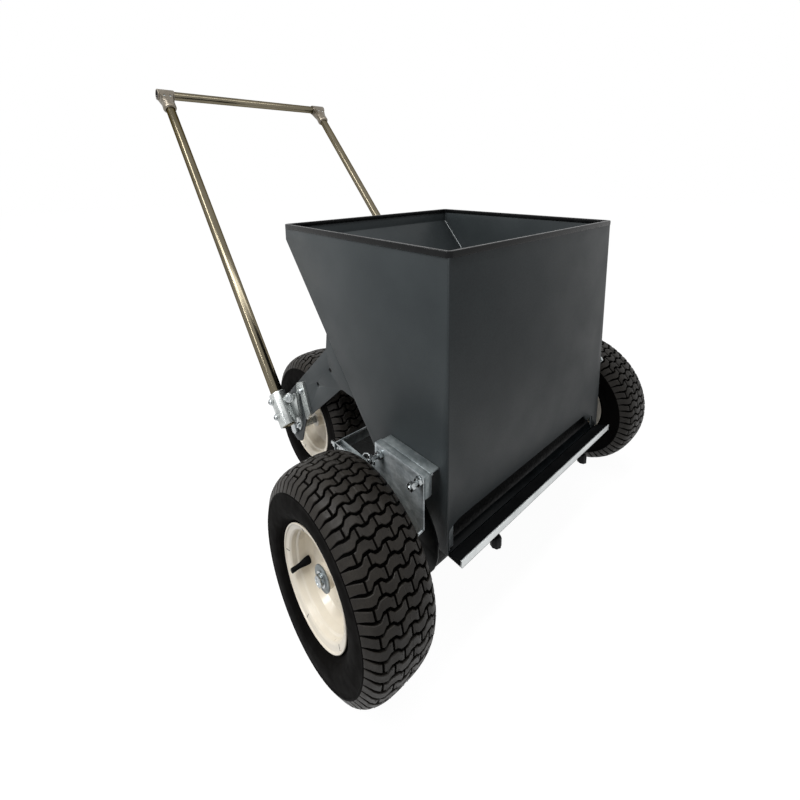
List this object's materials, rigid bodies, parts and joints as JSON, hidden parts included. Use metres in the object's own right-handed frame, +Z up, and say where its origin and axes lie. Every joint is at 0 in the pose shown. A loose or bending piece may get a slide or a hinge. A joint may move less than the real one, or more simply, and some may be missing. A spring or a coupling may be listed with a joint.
{
  "type": "lawn topdresser",
  "caption": "Push-along hopper spreader for sand or compost: wheel-driven feed belt, metering gate, turf wheels and a long tubular push handle.",
  "frame": {"origin": "centre of the footprint on the ground", "axes": "+X to the right seen from the front, +Y from the outlet back to the push handle, +Z up"},
  "size_m": [1.106, 1.6304, 1.296],
  "materials": {
    "powder_coat": "satin powder coat",
    "zinc_sheet": "zinc-plated sheet, mottled",
    "plated_steel": "bright zinc plating",
    "galvanised_casting": "satin galvanised",
    "tyre_rubber": "matt, moulded tread",
    "cream_paint": "gloss paint",
    "black_rubber": "matt",
    "handle_tube": "brushed lengthwise",
    "black_plastic": "matt moulded",
    "belt_rubber": "rough-top belt",
    "dark_steel": "semi-gloss dark paint",
    "bare_metal": "bare rolled strip"
  },
  "bodies": {
    "machine": {"apron_rubber": "black_rubber", "apron_tray": "dark_steel", "axle_bearing_left": "galvanised_casting", "axle_bearing_right": "galvanised_casting", "axle_plate_left": "zinc_sheet", "axle_plate_right": "zinc_sheet", "bracket_bolt_front_left": "plated_steel", "bracket_bolt_front_right": "plated_steel", "bracket_bolt_rear_left": "plated_steel", "bracket_bolt_rear_right": "plated_steel", "clamp_flange_left": "galvanised_casting", "clamp_flange_right": "galvanised_casting", "clamp_sleeve_left": "galvanised_casting", "clamp_sleeve_right": "galvanised_casting", "conveyor_belt": "belt_rubber", "front_panel": "powder_coat", "gate_guide_left": "zinc_sheet", "gate_guide_right": "zinc_sheet", "lip_strip": "bare_metal", "mount_angle_left": "zinc_sheet", "mount_angle_right": "zinc_sheet", "rear_arm_left": "powder_coat", "rear_arm_right": "powder_coat", "rear_axle": "plated_steel", "rear_panel": "powder_coat", "rim_trim": "black_rubber", "side_panel_left": "powder_coat", "side_panel_right": "powder_coat", "spacer_bar_left": "zinc_sheet", "spacer_bar_right": "zinc_sheet", "tension_bolt_left": "plated_steel", "tension_bolt_right": "plated_steel", "tension_frame": "zinc_sheet"},
    "drive_set": {"front_axle": "plated_steel", "drive_drum": "dark_steel", "front_left_tyre": "tyre_rubber", "front_left_rim": "cream_paint", "front_left_valve": "black_rubber", "front_right_tyre": "tyre_rubber", "front_right_rim": "cream_paint", "front_right_valve": "black_rubber", "hub_bolt_left": "plated_steel", "hub_bolt_right": "plated_steel"},
    "tail_roller_body": {"tail_roller": "dark_steel"},
    "rear_wheel_left": {"rear_left_tyre": "tyre_rubber", "rear_left_rim": "cream_paint", "rear_left_valve": "black_rubber"},
    "rear_wheel_right": {"rear_right_tyre": "tyre_rubber", "rear_right_rim": "cream_paint", "rear_right_valve": "black_rubber"},
    "handle": {"handle_cross_tube": "handle_tube", "handle_leg_left": "handle_tube", "tee_fitting_left": "galvanised_casting", "end_cap_left": "black_plastic", "handle_leg_right": "handle_tube", "tee_fitting_right": "galvanised_casting", "end_cap_right": "black_plastic"},
    "gate": {"metering_gate": "dark_steel"},
    "knob_left": {"apron_knob_left": "black_plastic"},
    "knob_right": {"apron_knob_right": "black_plastic"}
  },
  "joints": [
    {"name": "drive_spin", "type": "hinge", "parent": "machine", "child": "drive_set", "pos_m": [0, -0.61515, 0.2], "axis": [1, 0, 0], "continuous": true},
    {"name": "tail_roller_spin", "type": "hinge", "parent": "machine", "child": "tail_roller_body", "pos_m": [0, -0.42535, 0.246], "axis": [1, 0, 0], "continuous": true},
    {"name": "rear_left_spin", "type": "hinge", "parent": "machine", "child": "rear_wheel_left", "pos_m": [-0.219, -0.14835, 0.2], "axis": [1, 0, 0], "continuous": true},
    {"name": "rear_right_spin", "type": "hinge", "parent": "machine", "child": "rear_wheel_right", "pos_m": [0.219, -0.14835, 0.2], "axis": [1, 0, 0], "continuous": true},
    {"name": "handle_slide", "type": "slide", "parent": "machine", "child": "handle", "axis": [0, 0.6801, 0.7331], "range_m": [0, 0.05]},
    {"name": "gate_slide", "type": "slide", "parent": "machine", "child": "gate", "axis": [0, 0, 1], "range_m": [-0.063, 0]},
    {"name": "knob_left_turn", "type": "hinge", "parent": "machine", "child": "knob_left", "pos_m": [-0.194, -0.76735, 0.175], "axis": [0, 0, 1], "continuous": true},
    {"name": "knob_right_turn", "type": "hinge", "parent": "machine", "child": "knob_right", "pos_m": [0.194, -0.76735, 0.175], "axis": [0, 0, 1], "continuous": true}
  ],
  "couplings": [
    {"joint": "tail_roller_spin", "follows": "drive_spin", "ratio": 4.1837}
  ]
}
